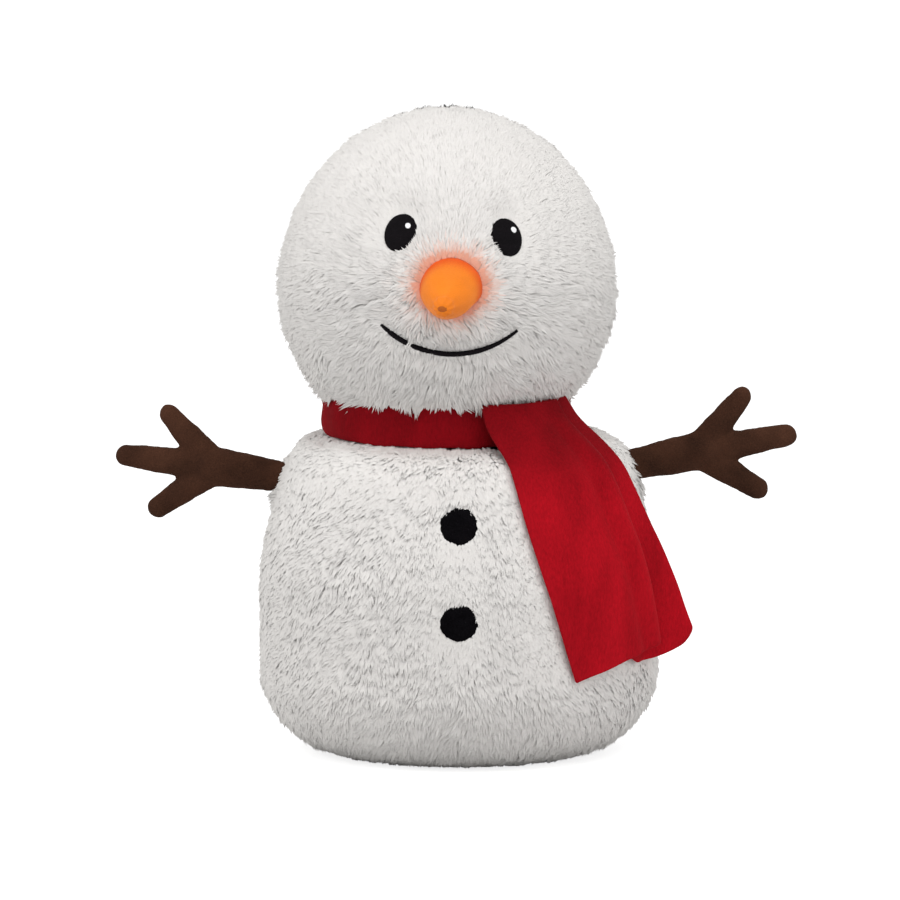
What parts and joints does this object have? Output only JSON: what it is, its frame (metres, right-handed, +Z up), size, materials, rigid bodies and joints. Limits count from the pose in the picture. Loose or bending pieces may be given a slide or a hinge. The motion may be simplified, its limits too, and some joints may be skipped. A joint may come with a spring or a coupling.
{
  "type": "plush snowman toy",
  "caption": "Stuffed snowman of white long-pile fur standing on a weighted flat base, with stub twig arms, a soft carrot nose, felt buttons and a wrapped fleece scarf.",
  "frame": {"origin": "centre of the flat base, on the surface that it stands on", "axes": "+Z up; the face looks towards -Y; +X is the snowman's own left"},
  "size_m": [0.3448, 0.2108, 0.3243],
  "materials": {
    "fur": "long-pile plush, off-white",
    "stuffing": "polyester fibre",
    "bag_cloth": "woven inner bag",
    "pellets": "loose pellets",
    "black_felt": "felt",
    "black_thread": "satin-stitch embroidery",
    "white_thread": "satin-stitch embroidery",
    "orange_satin": "short-nap satin cloth",
    "brown_velour": "velour",
    "red_fleece": "fleece"
  },
  "bodies": {
    "torso": {"body_panel_front_left": "fur", "body_panel_front_right": "fur", "body_panel_back_left": "fur", "body_panel_back_right": "fur", "base_panel": "fur", "body_stuffing": "stuffing", "pellet_bag": "bag_cloth", "pellet_fill": "pellets", "button_upper": "black_felt", "button_lower": "black_felt", "scarf_wrap": "red_fleece"},
    "head": {"head_panel_front_left": "fur", "head_panel_front_right": "fur", "head_panel_back_left": "fur", "head_panel_back_right": "fur", "head_stuffing": "stuffing", "eye_left": "black_thread", "eye_right": "black_thread", "eye_glint_left": "white_thread", "eye_glint_right": "white_thread", "mouth": "black_thread", "nose_cover": "orange_satin", "nose_stuffing": "stuffing"},
    "left_arm": {"left_arm_front_panel": "brown_velour", "left_arm_back_panel": "brown_velour", "left_arm_stuffing": "stuffing"},
    "right_arm": {"right_arm_front_panel": "brown_velour", "right_arm_back_panel": "brown_velour", "right_arm_stuffing": "stuffing"},
    "back_tail": {"scarf_back_tail": "red_fleece"},
    "front_tail": {"scarf_front_tail": "red_fleece"}
  },
  "joints": [
    {"name": "head_turn", "type": "hinge", "parent": "torso", "child": "head", "pos_m": [-0.006, 0, 0.172], "axis": [0, 0, 1], "range_deg": [-15, 15], "stiffness_Nm_per_rad": 0.3},
    {"name": "left_arm_swing", "type": "hinge", "parent": "torso", "child": "left_arm", "pos_m": [0.08468, 0, 0.144], "axis": [0, -1, 0], "range_deg": [-25, 25], "stiffness_Nm_per_rad": 0.08, "springref_deg": 1.15},
    {"name": "right_arm_swing", "type": "hinge", "parent": "torso", "child": "right_arm", "pos_m": [-0.08657, 0, 0.138], "axis": [0, 1, 0], "range_deg": [-25, 25], "stiffness_Nm_per_rad": 0.08, "springref_deg": 1.15},
    {"name": "back_tail_lift", "type": "hinge", "parent": "torso", "child": "back_tail", "pos_m": [0.04459, -0.04097, 0.1825], "axis": [-0.6293, -0.7771, 0], "range_deg": [0, 35]},
    {"name": "front_tail_lift", "type": "hinge", "parent": "back_tail", "child": "front_tail", "pos_m": [0.02993, -0.05429, 0.1825], "axis": [-0.8339, -0.5519, 0], "range_deg": [0, 40]}
  ]
}
